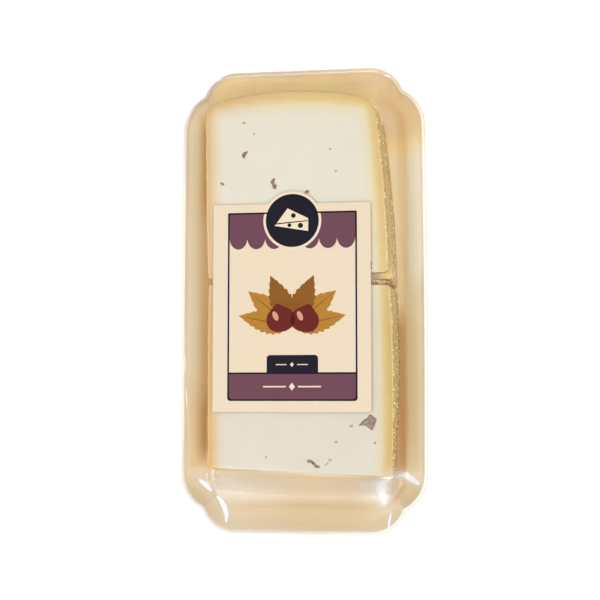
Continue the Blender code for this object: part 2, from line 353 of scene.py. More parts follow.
def lobed_ring(level, grow=0.0):
    """Plan outline of both basins together: each corner is two arcs that meet where their circles cross."""
    (wide_x, wide_y, wide_r), (long_x, long_y, long_r) = basin_sizes(level, grow)
    wide_centre = np.array([wide_x - wide_r, wide_y - wide_r])
    long_centre = np.array([long_x - long_r, long_y - long_r])
    apart = long_centre - wide_centre
    distance = np.hypot(*apart)
    along = apart / distance
    outward = np.array([along[1], -along[0]])
    reach = (wide_r**2 - long_r**2 + distance**2) / (2 * distance)
    notch = wide_centre + along * reach + outward * np.sqrt(wide_r**2 - reach**2)
    wide_turn = np.linspace(0, np.arctan2(*(notch - wide_centre)[::-1]), ARC_STEPS + 1)
    long_turn = np.linspace(np.arctan2(*(notch - long_centre)[::-1]), np.pi / 2, ARC_STEPS + 1)[1:]
    wide_arc = wide_centre + wide_r * np.stack([np.cos(wide_turn), np.sin(wide_turn)], 1)
    long_arc = long_centre + long_r * np.stack([np.cos(long_turn), np.sin(long_turn)], 1)
    quarter = np.concatenate([wide_arc, long_arc])
    end_x = np.linspace(quarter[-1, 0], -quarter[-1, 0], END_POINTS + 2)[1:-1]
    end = np.stack([end_x, np.full(END_POINTS, quarter[-1, 1])], 1)
    share = np.linspace(1, -1, SIDE_POINTS + 2)[1:-1]
    bow = SIDE_BOW * np.clip(level, 0, 1) * (1 - share**2)
    side = np.stack([-(quarter[0, 0] + bow), share * quarter[0, 1]], 1)
    half = np.concatenate([quarter, end, (quarter * (-1, 1))[::-1], side])
    return np.concatenate([half, -half])


def basin_level(points):
    """The wall level at plan points, found by halving, as the level whose outline passes through each."""
    x, y = np.abs(points[..., 0]), np.abs(points[..., 1])
    levels = []
    for which in (0, 1):
        low, high = np.full(x.shape, -1.5), np.full(x.shape, 1.5)
        for _ in range(32):
            middle = (low + high) / 2
            half_x, half_y, radius = basin_sizes(middle, 0.0)[which]
            bow = SIDE_BOW * np.clip(middle, 0, 1) * np.clip(1 - (y / (half_y - radius)) ** 2, 0, 1)
            over_x, over_y = x - bow - (half_x - radius), y - (half_y - radius)
            corner = np.hypot(np.maximum(over_x, 0), np.maximum(over_y, 0))
            outside = corner + np.minimum(np.maximum(over_x, over_y), 0) > radius
            low, high = np.where(outside, middle, low), np.where(outside, high, middle)
        levels.append((low + high) / 2)
    return np.minimum(*levels)


def basin_height(points, fillet=FLOOR_FILLET):
    """Height of the tray's inner face at plan points: flat floor, quarter-round fillet, sloping wall."""
    run = basin_level(points) * WALL_RUN
    tangent = fillet * np.tan(WALL_SLOPE / 2)
    into = np.clip(run + tangent, 0, fillet)
    foot = fillet - np.sqrt(fillet**2 - into**2)
    return SHEET + np.where(run > tangent * np.cos(WALL_SLOPE), run * np.tan(WALL_SLOPE), foot)


def fillet_rings(radius, base, grow, steps=9):
    """Rings of the rounded foot between a floor at height base and the sloping wall."""
    tangent = radius * np.tan(WALL_SLOPE / 2)
    rings = []
    for turn in np.linspace(0, WALL_SLOPE, steps + 1):
        rise = radius * (1 - np.cos(turn))
        shift = radius * np.sin(turn) - tangent - rise / np.tan(WALL_SLOPE)
        rings.append(raised(lobed_ring((base + rise - SHEET) / WALL_HEIGHT, grow + shift), base + rise))
    return rings


# %% [markdown]
# The plastic is a warm beige with a satin gloss and a faint orange-peel grain from the mould. A ramp
# on the height of each point sets its tone, with painted shade that makes the foot deeper and the lip
# grayer than the middle of the wall. Between the wall and the slices light goes to and fro and turns
# brown, more than it does in this studio, so four numbers at each point pick painted tints: a painted
# highlight along the lip's inner edge and painted shade on its outer roll, and painted shade in the
# channels beside the slices, at the low end and at the high end.

# %% Tray plastic
plastic, plastic_shader = new_finish(
    "tray_plastic", Roughness=0.3, Coat_Weight=0.25, Coat_Roughness=0.12,
    Subsurface_Weight=0.9, Subsurface_Scale=0.0025, Subsurface_Radius=(1.0, 0.9, 0.8),
)
height = node(plastic, "SeparateXYZ", {0: node(plastic, "TexCoord").outputs["Object"]}).outputs["Z"]
cloud = math(plastic, "MULTIPLY", noise(plastic, 45.0, 3.0), 0.12)
level = math(plastic, "ADD", math(plastic, "MULTIPLY", height, 1 / TRAY_HEIGHT), cloud)
# painted shade: the ramp on height makes the foot deeper and more saturated, and the lip grayer, than the middle of the
# wall
stops = tones((0.08, 245, 221, 185), (0.45, 250, 232, 203), (0.90, 236, 219, 195), (1.0, 206, 197, 184))
tone = ramp(plastic, level, stops)
for name, *stops in (
    # painted highlight along the inner edge of the lip, and painted shade on its outer roll
    ("rim", (0.5, (1.32, 1.37, 1.50, 1)), (1.0, (0.78, 0.72, 0.64, 1))),
    # painted shade in the channels beside the slices
    ("beside", (0.2, (0.97, 0.90, 0.85, 1)), (1.0, (0.54, 0.43, 0.28, 1))),
    # painted shade at the low end
    ("low_side", (1.0, (0.705, 0.68, 0.62, 1))),
    # painted shade, warmer, along the high end
    ("high_side", (0.5, (1.03, 0.91, 0.75, 1)), (1.0, (0.83, 0.77, 0.70, 1))),
):
    tone = tint(plastic, tone, attribute(plastic, name), *stops)
wire(plastic, plastic_shader, Base_Color=tone, Normal=dented(plastic, noise(plastic, 900.0), 0.06, 0.0002))


# %% Tray mesh
def tray_rings():
    """Inner floor, foot, wall, rolled lip, outer wall, foot and underside, as rings from the middle out and back,
    and the number of the lip's first ring."""
    rings = [raised(lobed_ring(0.0, -grow), SHEET) for grow in (0.0105, 0.007, 0.004)]
    rings += fillet_rings(FLOOR_FILLET, SHEET, 0.0)
    top_of_foot = rings[-1][0, 2]
    for share in np.linspace(0, 1, 22)[1:]:
        level = mix((top_of_foot - SHEET) / WALL_HEIGHT, 1 - LIP_DEPTH / 2 / WALL_HEIGHT, share)
        rings.append(raised(lobed_ring(level), SHEET + level * WALL_HEIGHT))
    roll = LIP_DEPTH / 2
    lip_start = len(rings)
    for turn in np.linspace(0, 90, 7)[1:]:
        angle = np.radians(turn)
        out = LIP_WIDTH * 0.24 * (1 - np.cos(angle))
        rings.append(raised(lobed_ring(1.0, out), TRAY_HEIGHT - roll + roll * np.sin(angle)))
    rings.append(raised(lobed_ring(1.0, LIP_WIDTH * 0.52), TRAY_HEIGHT))
    for turn in np.linspace(90, -60, 9):
        angle = np.radians(turn)
        out = LIP_WIDTH - roll + roll * np.cos(angle)
        rings.append(raised(lobed_ring(1.0, out), TRAY_HEIGHT - roll + roll * np.sin(angle)))
    under = TRAY_HEIGHT - LIP_DEPTH
    for share in np.linspace(0, 1, 12):
        level = mix((under - SHEET) / WALL_HEIGHT, 0.3, share)
        rings.append(raised(lobed_ring(level, SHEET_ACROSS), SHEET + level * WALL_HEIGHT))
    rings += fillet_rings(FLOOR_FILLET + SHEET, 0.0, SHEET_ACROSS)[::-1]
    rings += [raised(lobed_ring(0.0, -grow), 0.0) for grow in (0.006, 0.0105)]
    return np.stack(rings), lip_start


def paint_tray_light_and_shade(piece, grid, outward, lip_start):
    """Four numbers for the tray's painted light and shade at each point: a painted highlight and shade on the lip,
    painted shade beside the slices, at the low end and at the high end. Each is a product of eased steps along x
    and y, so that no tint has a border."""
    x, y, z = np.moveaxis(grid, -1, 0)
    rising = ease(0.8 * TRAY_HEIGHT, TRAY_HEIGHT, z)
    rim = np.zeros(x.shape)
    facing = outward[lip_start, :, 0]
    # painted highlight on the lip's inner roll, strongest on the right side; the outer roll is painted darker
    rim[lip_start : lip_start + 7] = 0.5 * (ease(-0.1, 0.5, facing) + 0.6 * ease(-0.5, -0.8, facing))
    rim[lip_start + 8 : lip_start + 16] = 1.0
    # painted light on the wall at the upper right
    upper_right = ease(0.0440, 0.0465, x) * ease(0.0535, 0.0505, x) * ease(0.004, 0.014, y) * ease(0.075, 0.060, y)
    rim[:lip_start] += 0.22 * upper_right[:lip_start]
    mark(piece, "rim", rim)

    # painted shade in the channels between the slices and the wall, deepest beside the lower stack
    left_side = 0.64 + 0.10 * ease(0.0, -0.02, y) - 0.12 * ease(-0.02, -0.04, y)
    left_side += 0.06 * ease(-0.045, -0.06, y) + 0.25 * ease(0.03, 0.05, y)
    left_gap = left_side * (0.85 * ease(-0.0485, -0.0450, x) + 0.35 * ease(-0.0435, -0.0405, x))
    left_gap *= ease(-0.074, -0.064, y)
    left_wall = 0.18 * ease(-0.0505, -0.0485, x) + 0.10 * ease(-0.0520, -0.0500, x)
    left_gap += left_wall * ease(-0.025, -0.05, y)
    left_gap *= ease(-0.030, -0.038, x)
    foot = ease(0.0448, 0.0420, x)
    right_gap = foot * (0.66 + 0.08 * ease(-0.02, -0.05, y)) + 0.15 * ease(0.0515, 0.0475, x)
    right_gap *= ease(0.004, -0.014, y)
    right_gap += 0.10 * ease(0.0455, 0.0430, x) * ease(0.004, 0.014, y)
    right_gap *= ease(0.030, 0.038, x)
    inside = ease(0.0003, 0.0006, z) * ease(-0.080, -0.070, y) * ease(0.088, 0.075, y)
    mark(piece, "beside", (left_gap + right_gap) * inside * (1 - rising))

    # painted shade on the low end's wall, less on its lip, and on the lip at the high end
    high_end = ease(0.080, 0.088, y)
    low = ease(-0.068, -0.084, y) * mix(1.0, 0.15, rising)
    low[lip_start : lip_start + 8] += 0.8 * high_end[lip_start : lip_start + 8]
    mark(piece, "low_side", low)
    # painted shade on the wall at the high end and at the upper right
    top = ease(-0.046, -0.034, x) * (0.5 + 0.5 * ease(0.006, 0.026, x) * ease(0.002, 0.010, z))
    top += 0.15 * ease(-0.018, -0.024, x) * ease(-0.040, -0.032, x)
    top_right = ease(0.026, 0.034, x) * ease(0.058, 0.078, y)
    mark(piece, "high_side", np.maximum(top * high_end, top_right) * (1 - 0.6 * rising))


def build_tray():
    """The rings with a wall that is slightly uneven, as drawn plastic is, kept inside the solid's box."""
    grid, lip_start = tray_rings()
    wall = ease(SHEET, 0.3 * TRAY_HEIGHT, grid[..., 2]) * ease(TRAY_HEIGHT, 0.8 * TRAY_HEIGHT, grid[..., 2])
    outward = grid[..., :2] / np.linalg.norm(grid[..., :2], axis=-1, keepdims=True)
    grid[..., :2] += outward * (wall * 0.00016 * lattice_noise(grid, 0.011, 5))[..., None]
    half_box = np.array([CAD_HALF_WIDTH, CAD_HALF_LENGTH])
    grid[..., :2] = np.clip(grid[..., :2], -half_box, half_box)
    piece = skin("thermoformed_tray", grid, plastic)
    paint_tray_light_and_shade(piece, grid, outward, lip_start)
    return piece


tray = build_tray()
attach(tray, "root")
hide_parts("tray")
print("tray", len(tray.data.polygons), "faces")

# %% [markdown]
# ## Cheese slices
#
# A slice is a slab cut from the wheel: cut faces above and below, rind along its sides, and in the
# upper stack a rounded rind end too. The lower slices of each stack have slipped out to the right. A
# cube with bevels would give neither the lean nor the bow, so the outline is drawn in a unit square
# and bent onto four measured corners. The same bend carries the rings on the slice's face, and it
# tells each point how far it is from the rind.

# %% Slice sizes and places, in metres
GAP, SLICE_THICKNESS, SLICES_IN_STACK, EDGE_ROUND, JITTER = 0.0003, 0.0046, 5, 0.0004, 0.00025
SLIP = (1.0, 0.88, 0.74, 0.6, 0.0)
UPPER_TOP = ((-0.0393, 0.0078), (0.0371, 0.0099), (0.0318, 0.0832), (-0.0407, 0.0826))
UPPER_BOTTOM = ((-0.0374, 0.0058), (0.0399, 0.0051), (0.0342, 0.0812), (-0.0392, 0.0806))
LOWER_TOP = ((-0.0389, -0.0717), (0.0384, -0.0749), (0.0377, 0.0046), (-0.0390, 0.0057))
LOWER_BOTTOM = ((-0.0389, -0.0730), (0.0386, -0.0746), (0.0401, 0.0032), (-0.0376, 0.0040))
CUT_CORNER, RIND_CORNER, RIND_BOW, RIGHT_BOW, LEFT_BOW = 0.0012, 0.006, 0.0052, 0.0012, 0.0003
STACK_TOP = SHEET + SLICES_IN_STACK * (GAP + SLICE_THICKNESS)


# %% Slice outline
def square_outline(width, length, low, high, points):
    """Outline of a rounded rectangle, from its low right corner round to its low left one, in unit coordinates."""

    def corner(x, y, radius, start):
        turn = np.radians(np.linspace(start, start + 90, 13))
        return np.stack([x + radius * np.cos(turn), y + radius * np.sin(turn)], 1)

    def edge(a, b):
        share = np.linspace(0, 1, points + 2)[1:-1, None]
        return mix(np.array(a), np.array(b), share)

    flat = np.concatenate(
        [
            corner(width - low, low, low, -90),
            edge((width, low), (width, length - high)),
            corner(width - high, length - high, high, 0),
            edge((width - high, length), (high, length)),
            corner(high, length - high, high, 90),
            edge((0, length - high), (0, low)),
            corner(low, low, low, 180),
            edge((low, 0), (width - low, 0)),
        ]
    )
    return flat / (width, length)


def bend(unit, corners, bow_high):
    """A point of the unit square carried onto the slice: a blend of four corners, with bowed sides and end."""
    low_left, low_right, high_right, high_left = np.array(corners)
    across, along = unit[..., :1], unit[..., 1:]
    bent = mix(mix(low_left, low_right, across), mix(high_left, high_right, across), along)
    across, along = across[..., 0], along[..., 0]
    bent[..., 0] += 4 * along * (1 - along) * (RIGHT_BOW * across - LEFT_BOW * (1 - across))
    bent[..., 1] += bow_high * 4 * across * (1 - across) * np.abs(along) ** 4
    return bent


def slice_places():
    """Corners, underside height, end radius and bow of every slice, with the small shifts that the stacks have."""
    draw = np.random.default_rng(7)
    found = {}
    for name, top, bottom, corner, bow in (
        ("upper_slice", UPPER_TOP, UPPER_BOTTOM, RIND_CORNER, RIND_BOW),
        ("lower_slice", LOWER_TOP, LOWER_BOTTOM, CUT_CORNER, 0.0),
    ):
        for k, slip in enumerate(SLIP):
            corners = mix(np.array(top), np.array(bottom), slip)
            if k < SLICES_IN_STACK - 1:
                corners = corners + draw.uniform(-JITTER, JITTER, (4, 2))
            found[f"{name}_{k + 1}"] = (corners, SHEET + GAP + k * (SLICE_THICKNESS + GAP), corner, bow)
    return found


# %% [markdown]
# The cheese is a pale cream with a faint mottle, waxy under its film. Towards the rind it dries, and
# turns yellow on the right and top, and more peach on the left. Each point carries its distance from
# the rind, and a colour ramp on that distance, with noise added so that the border wanders, gives
# the band. The lower stack carries a painted shade, a little darker and warmer, and its rind is a
# deeper yellow. The rounded edges carry painted shade, and the hidden ends of the upper slices that
# face the gap carry painted light. The sides get a grainy, crumbly bump.

# %% Cheese material
RIND_REACH = 0.012
cheese, cheese_shader = new_finish(
    "cheese", Roughness=0.46, Subsurface_Weight=0.12, Subsurface_Scale=0.004, Subsurface_Radius=(1.0, 0.7, 0.35)
)
wander = math(cheese, "MULTIPLY", math(cheese, "SUBTRACT", noise(cheese, 140.0, 3.0), 0.5), 0.10)
depth = math(cheese, "ADD", attribute(cheese, "from_rind"), wander)
stops = tones(
    (0.0, 211, 177, 111), (0.10, 213, 180, 105), (0.24, 218, 191, 123), (0.40, 224, 209, 170), (0.75, 221, 214, 196)
)
right_band = ramp(cheese, depth, stops)
stops = tones(
    (0.0, 212, 172, 112), (0.09, 208, 168, 110), (0.23, 214, 187, 134), (0.42, 218, 203, 172), (0.70, 220, 213, 195)
)
left_band = ramp(cheese, depth, stops)
from_left = attribute(cheese, "across")
cream = blend(cheese, from_left, left_band, right_band)
mottle = noise(cheese, 60.0, 5.0, 0.6)
mottled = ramp(cheese, mottle, [(0.3, (0.845, 0.845, 0.832, 1)), (0.7, (0.885, 0.885, 0.885, 1))])
cream = blend(cheese, 1.0, cream, mottled, "MULTIPLY")
place_y = node(cheese, "SeparateXYZ", {0: node(cheese, "TexCoord").outputs["Object"]}).outputs["Y"]
lengthwise = math(cheese, "ADD", math(cheese, "MULTIPLY", place_y, 12.0), 0.5)
# painted shade: the lower stack is a little darker and warmer
lower_stack_shade = ramp(cheese, lengthwise, [(0.35, (0.90, 0.875, 0.86, 1)), (0.65, WHITE)])
cream = blend(cheese, 1.0, cream, lower_stack_shade, "MULTIPLY")
low_stack = ramp(cheese, lengthwise, [(0.35, WHITE), (0.65, BLACK)])
near_rind = ramp(cheese, depth, [(0.1, WHITE), (0.42, BLACK)])
deep_tone = blend(cheese, from_left, (1.04, 0.95, 0.44, 1), (0.95, 0.91, 0.40, 1))
cream = toward(cheese, math(cheese, "MULTIPLY", low_stack, near_rind), cream, deep_tone)
# painted light on the hidden ends of the upper slices that face the gap
cream = toward(cheese, attribute(cheese, "gap_end_light"), cream, (1.22, 1.16, 1.04, 1))
# painted shade on the rounded edges by the rind
cream = toward(cheese, attribute(cheese, "edge_shade"), cream, (0.82, 0.80, 0.74, 1))
side_grain = noise(cheese, 1100.0, 4.0, 0.65)
on_side = attribute(cheese, "side")
speckle = ramp(cheese, side_grain, [(0.35, (0.80, 0.74, 0.62, 1)), (0.6, WHITE), (0.72, (1.12, 1.12, 1.1, 1))])
cream = toward(cheese, on_side, cream, speckle)
grain_share = math(cheese, "ADD", math(cheese, "MULTIPLY", on_side, 0.9), 0.08)
relief = math(cheese, "ADD", mottle, math(cheese, "MULTIPLY", side_grain, grain_share))
wire(cheese, cheese_shader, Base_Color=cream, Normal=dented(cheese, relief, 0.35, 0.0004))

# %% Slice mesh
FACE_RINGS = (0.03, 0.15, 0.3, 0.45, 0.58, 0.68, 0.75, 0.8, 0.84, 0.87, 0.895, 0.915, 0.933, 0.948, 0.96, 0.97, 0.979)
HIDDEN_RINGS = (0.04, 0.4, 0.7, 0.84, 0.91, 0.95, 0.975)


def rind_distance(unit, width, length, corner, bow):
    """Distance from the nearest rind side, and round the corner from its arc. The low end, and the lower stack's
    high end, are cut faces and have no rind."""
    side = np.minimum(unit[..., 0], 1 - unit[..., 0]) * width
    if bow == 0:
        return side
    end = (1 - unit[..., 1]) * length
    round_off = corner - np.hypot(corner - side, corner - end)
    return np.where((side < corner) & (end < corner), np.maximum(round_off, 0), np.minimum(side, end))


def build_slice(name, corners, base, corner, bow, seed):
    """Rings over the upper face, round the edge by a quarter circle, down the side, and back under."""
    low_left, low_right, high_right, high_left = corners
    width, length = np.hypot(*(low_right - low_left)), np.hypot(*(high_left - low_left))
    shown = base + SLICE_THICKNESS > STACK_TOP - 0.0001
    edge = square_outline(width, length, CUT_CORNER, corner, 96)
    middle = np.array([0.5, 0.5])
    face = FACE_RINGS if shown else HIDDEN_RINGS
    reach = width / 2
    turns = np.radians(np.linspace(0, 90, 5))
    inset = EDGE_ROUND * (1 - np.sin(turns)) / reach
    drop = EDGE_ROUND * (1 - np.cos(turns))
    heights = np.linspace(EDGE_ROUND, SLICE_THICKNESS - EDGE_ROUND, 9)[1:-1]
    shares = [*face, *(1 - inset), *([1.0] * len(heights)), *(1 - inset)[::-1], *HIDDEN_RINGS[::-1]]
    falls = [*([0.0] * len(face)), *drop, *heights, *(SLICE_THICKNESS - drop)[::-1]]
    falls += [SLICE_THICKNESS] * len(HIDDEN_RINGS)
    unit = middle + (edge - middle)[None] * np.array(shares)[:, None, None]
    plan = bend(unit, corners, bow)
    levels = base + SLICE_THICKNESS - np.array(falls)[:, None, None]
    grid = np.concatenate([plan, np.broadcast_to(levels, plan.shape[:2] + (1,))], -1)
    from_rind = rind_distance(unit, width, length, corner, bow)
    near_edge = ease(0.955, 1.0, np.array(shares))[:, None]
    crumble = mix(0.00022, 0.00010, ease(0, 0.002, from_rind))
    outward = plan - plan[:1].mean(1, keepdims=True)
    outward /= np.linalg.norm(outward, axis=-1, keepdims=True)
    grid[..., :2] += outward * (near_edge * crumble * rough(grid, 0.0022, 11 + seed, 4))[..., None]
    if name == "upper_slice_5":
        nick = ease(0.085, 0.0, unit[..., 1]) * ease(0.12, 0.0, unit[..., 0])
        grid[..., 0] += nick * 0.0004
    grid[..., 2] += 0.00005 * lattice_noise(grid[..., :2], 0.009, 23)
    piece = skin(name.replace("_slice_", "_cheese_slice_"), grid, cheese)
    mark(piece, "from_rind", from_rind / RIND_REACH)
    mark(piece, "across", ease(0.15, 0.6, unit[..., 0]))
    # painted light: the ends of the upper stack's lower slices in the gap are lit up
    gap_end_light = np.zeros(from_rind.shape) if shown or bow == 0 else ease(0.08, 0.04, unit[..., 1])
    mark(piece, "gap_end_light", gap_end_light)
    depth_down = np.array(falls)[:, None]
    on_side = ease(0.0001, 0.0006, depth_down) * ease(SLICE_THICKNESS - 0.0001, SLICE_THICKNESS - 0.0006, depth_down)
    mark(piece, "side", np.broadcast_to(on_side, grid.shape[:2]))
    # painted shade on the rounded top edges along the rind, and along the lower stack's left side and low end
    rounded = ease(0.0, 0.0001, depth_down) * ease(0.0008, 0.0004, depth_down)
    at_rind = ease(0.003, 0.0, from_rind)
    edge_shade = at_rind * np.maximum(ease(0.3, 0.6, unit[..., 0]), ease(0.9, 0.97, unit[..., 1]))
    if bow == 0:
        left_edge = at_rind * ease(0.4, 0.2, unit[..., 0]) * (0.4 + 0.6 * ease(-0.0505, -0.0465, plan[..., 1]))
        low_edge = 0.9 * ease(0.003, 0.0, unit[..., 1] * length)
        edge_shade = np.maximum(edge_shade, np.maximum(left_edge, low_edge))
    mark(piece, "edge_shade", rounded * edge_shade)
    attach(piece, "root")
    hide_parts(name)
    return piece


places = slice_places()
slices = {name: build_slice(name, *place, seed) for seed, (name, place) in enumerate(places.items())}
print("slices", len(slices), "with", sum(len(s.data.polygons) for s in slices.values()), "faces")

# %% [markdown]
# ## Nut pieces and crumbs
#
# Chopped nut is mixed into the cheese, so the saw leaves a few brown chips flush in the cut face. Each
# is a small plate with a ragged outline, just proud of the cream. Along the right side the rind sheds
# crumbs: hundreds of tiny faceted grains, so each has only twenty faces. In the gap between the
# stacks lies one lumpy brown bar, coloured as the shaded cut faces there: painted shade.

# %% Chips of nut in the upper faces
CHIPS = (  # x, y, half length, half width in mm, turn in degrees, share of ochre
    (-33.4, 48.8, 0.6, 0.9, 60, 0), (-24.0, 75.0, 0.7, 0.4, 10, 1), (15.6, 53.1, 0.35, 0.35, 0, 0),
    (13.1, 62.6, 0.3, 0.5, 20, 0.4), (-19.6, 70.1, 0.3, 0.5, 70, 0.5), (3.2, 44.4, 0.7, 1.0, 100, 0),
    (4.3, -68.7, 1.2, 0.65, 170, 0), (5.9, -69.6, 0.65, 1.0, 40, 0), (7.3, -70.7, 1.1, 0.6, 165, 0),
    (-14.1, -67.1, 0.35, 0.6, 0, 0.9), (15.3, -60.7, 0.6, 0.3, 20, 0.3), (31.5, -61.0, 0.5, 0.4, 40, 0.2),
    (30.3, 14.0, 0.28, 0.5, 0, 0), (30.3, 13.0, 0.26, 0.45, 0, 0), (30.3, 11.6, 0.26, 0.35, 0, 0),
    (21.6, -54.1, 0.75, 0.55, 15, 1), (12.8, -68.1, 0.45, 0.75, 60, 0.9), (11.5, -69.7, 0.9, 0.25, 40, 0.8),
    (26.2, -48.2, 0.5, 0.2, 0, 0.2),
)
DRAWN_CHIPS = (
    (
        (24.4, -54.0), (25.6, -53.1), (26.6, -52.0), (27.4, -51.1), (28.4, -50.8), (28.7, -49.8),
        (29.3, -49.2), (30.3, -49.5), (31.1, -50.2), (32.1, -51.0), (32.4, -52.0), (31.8, -53.2),
        (31.5, -54.5), (30.5, -55.9), (29.4, -55.1), (27.9, -54.2), (26.5, -53.9),
    ),
    (
        (-24.8, 60.1), (-24.8, 61.3), (-24.1, 62.3), (-23.2, 62.2), (-22.6, 62.9),
        (-22.0, 62.5), (-22.8, 61.4), (-23.2, 60.6), (-23.6, 59.5), (-24.3, 59.7),
    ),
    (
        (-12.5, 49.4), (-11.4, 50.3), (-10.4, 50.6), (-10.8, 49.2), (-10.5, 48.2),
        (-9.5, 47.4), (-10.2, 46.0), (-11.3, 46.3), (-11.7, 47.9), (-12.3, 48.7),
    ),
)
CHIP_RINGS = ((0.05, 0.00012), (0.5, 0.00011), (0.85, 0.0001), (1.0, 0.00006), (1.0, -0.0004), (0.05, -0.0004))
DARK_CHIPS = (6, 7, 8)
nut, nut_shader = new_finish("nut", Roughness=0.5)
flakes = noise(nut, 900.0, 4.0, 0.6)
nut_tone = ramp(nut, flakes, tones((0.38, 74, 42, 33), (0.5, 112, 70, 56), (0.62, 164, 118, 96)))
nut_tone = blend(nut, attribute(nut, "ochre"), nut_tone, shade(178, 138, 62))
nut_tone = toward(nut, attribute(nut, "edge"), nut_tone, (0.34, 0.42, 0.34, 1))
wire(nut, nut_shader, Base_Color=nut_tone, Normal=dented(nut, flakes, 0.5, 0.0003))


def build_chip(k, x, y, half_long, half_wide, turn, outline=None):
    """A thin plate: an ellipse, or the drawn outline, whose radius is roughened by noise, slightly domed, sunk into
    the cheese."""
    around = np.radians(np.arange(0, 360, 5 if outline is None else 2))
    circle = np.stack([np.cos(around), np.sin(around)], 1)
    middle = np.array([x, y])
    if outline is None:
        shape = turned(circle * (half_long, half_wide), turn, (0, 0))
    else:
        shape = circle * reach_of([np.array(outline) - middle], circle)[:, None]
    shape = shape * (1 + (0.3 if outline is None else 0.1) * rough(circle + 7 * k, 0.6, 40 + k, 3))[:, None]
    return np.stack([raised((middle + shape * share) * 0.001, STACK_TOP + lift) for share, lift in CHIP_RINGS])


def gather(name, grids, material, slot, **marks):
    """One piece from several ring grids. Each mark is an attribute with one number for each grid."""
    parts = [skin(f"{name}_{k}", grid, material) for k, grid in enumerate(grids)]
    for key, values in marks.items():
        for part, value in zip(parts, values):
            mark(part, key, value if np.ndim(value) else np.full(len(part.data.vertices), value))
    with bpy.context.temp_override(active_object=parts[0], selected_editable_objects=parts):
        bpy.ops.object.join()
    parts[0].name = name
    parts[0].data.name = name
    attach(parts[0], "root")
    return parts[0]


chip_grids = [build_chip(k, *chip[:5]) for k, chip in enumerate(CHIPS)]
chip_grids += [build_chip(30 + k, *np.mean(drawn, 0), 0, 0, 0, drawn) for k, drawn in enumerate(DRAWN_CHIPS)]
rim_rings = np.array([0.0, 0.0, 0.3, 1.0, 1.0, 0.0])[:, None]
rims = [np.broadcast_to(rim_rings, grid.shape[:2]) for grid in chip_grids]
rims = [np.maximum(rim, 0.75) if k in DARK_CHIPS else rim for k, rim in enumerate(rims)]
big_low_side = chip_grids[len(CHIPS)][..., 1] < -0.0538
ochres = [*(chip[5] for chip in CHIPS), 0.08 + 0.7 * rims[len(CHIPS)] * big_low_side, 0, 0]
chips = gather("nut_chips", chip_grids, nut, "cheese", ochre=ochres, edge=rims)

# %% Crumbs along the rind
crumb, crumb_shader = new_finish("crumb", Roughness=0.6)
grain_tones = tones((0.36, 190, 146, 66), (0.46, 236, 204, 118), (0.55, 255, 246, 200))
wire(crumb, crumb_shader, Base_Color=ramp(crumb, noise(crumb, 2200.0, 1.0), grain_tones))
CRUMB_SHARES = np.tile([0.06, 0.07, 0.08, 0.09, 0.2], 2)


def build_crumbs(count, seed):
    """Grains on the right sides of the slices: an icosahedron for each, its corners pushed about by chance."""
    draw = np.random.default_rng(seed)
    golden = (1 + 5**0.5) / 2
    corners = np.array([[-1, golden, 0], [1, golden, 0], [-1, -golden, 0], [1, -golden, 0]], float)
    corners = np.concatenate([np.roll(corners, k, 1) for k in range(3)])
    corners /= np.linalg.norm(corners[0])
    gaps = np.linalg.norm(corners[:, None] - corners[None], axis=-1)
    near = (gaps > 0.1) & (gaps < 1.1)
    trios = [trio for trio in combinations(range(12), 3) if all(near[a, b] for a, b in combinations(trio, 2))]
    outward = [t if np.linalg.det(corners[list(t)]) > 0 else (t[0], t[2], t[1]) for t in trios]
    names = list(places)
    which = draw.choice(len(names), count, p=CRUMB_SHARES)
    along = draw.uniform(0.02, 0.97, count)
    spots = np.zeros((count, 3))
    for k, name in enumerate(names):
        corners_here, base, _, bow = places[name]
        here = which == k
        unit = np.stack([np.ones(here.sum()), along[here]], 1)
        spots[here, :2] = bend(unit, corners_here, bow)
        spots[here, 2] = base + draw.uniform(0.55, 1.0, here.sum()) * SLICE_THICKNESS
    spots[:, 0] += draw.uniform(-0.0001, 0.0003, count)
    sizes = draw.uniform(0.00015, 0.00034, count) * (1 + 0.5 * (draw.random(count) > 0.92))
    points = spots[:, None] + corners[None] * sizes[:, None, None] * draw.uniform(0.7, 1.25, (count, 12, 1))
    faces = (np.array(outward)[None] + 12 * np.arange(count)[:, None, None]).reshape(-1, 3)
    data = bpy.data.meshes.new("rind_crumbs")
    data.from_pydata(points.reshape(-1, 3).tolist(), [], faces.tolist())
    data.materials.append(crumb)
    piece = bpy.data.objects.new("rind_crumbs", data)
    bpy.context.scene.collection.objects.link(piece)
    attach(piece, "root")
    return piece


crumbs = build_crumbs(850, 3)


GAP_RINGS = ((0.02, 0.0232), (0.4, 0.0232), (0.75, 0.0231), (0.95, 0.0228), (1.0, 0.0216), (1.0, 0.0206), (0.02, 0.0206))


def build_gap_shade_bar():
    """A long lumpy bar in the gap between the stacks, painted shade for the cut faces there: its rings squares rounded
    to circles by noise.
    """
    turn = np.linspace(0, 2 * np.pi, 200, endpoint=False)
    along = np.sign(np.cos(turn)) * np.abs(np.cos(turn)) ** 0.35
    middle = np.stack([0.0380 * along, 0.0061 - 0.0003 * along], 1)
    aside = np.stack([0 * turn, np.sin(turn) * (0.0014 + 0.0004 * along)], 1)
    grid = np.stack([raised(middle * (max(share, 0.97), 1) + aside * share, height) for share, height in GAP_RINGS])
    grid[:5, :, 2] += 0.0003 * rough(grid[:5, :, :2], 0.0014, 90, 3)
    return gather("gap_shade_bar", [grid], gap_shade_paint, "cheese")


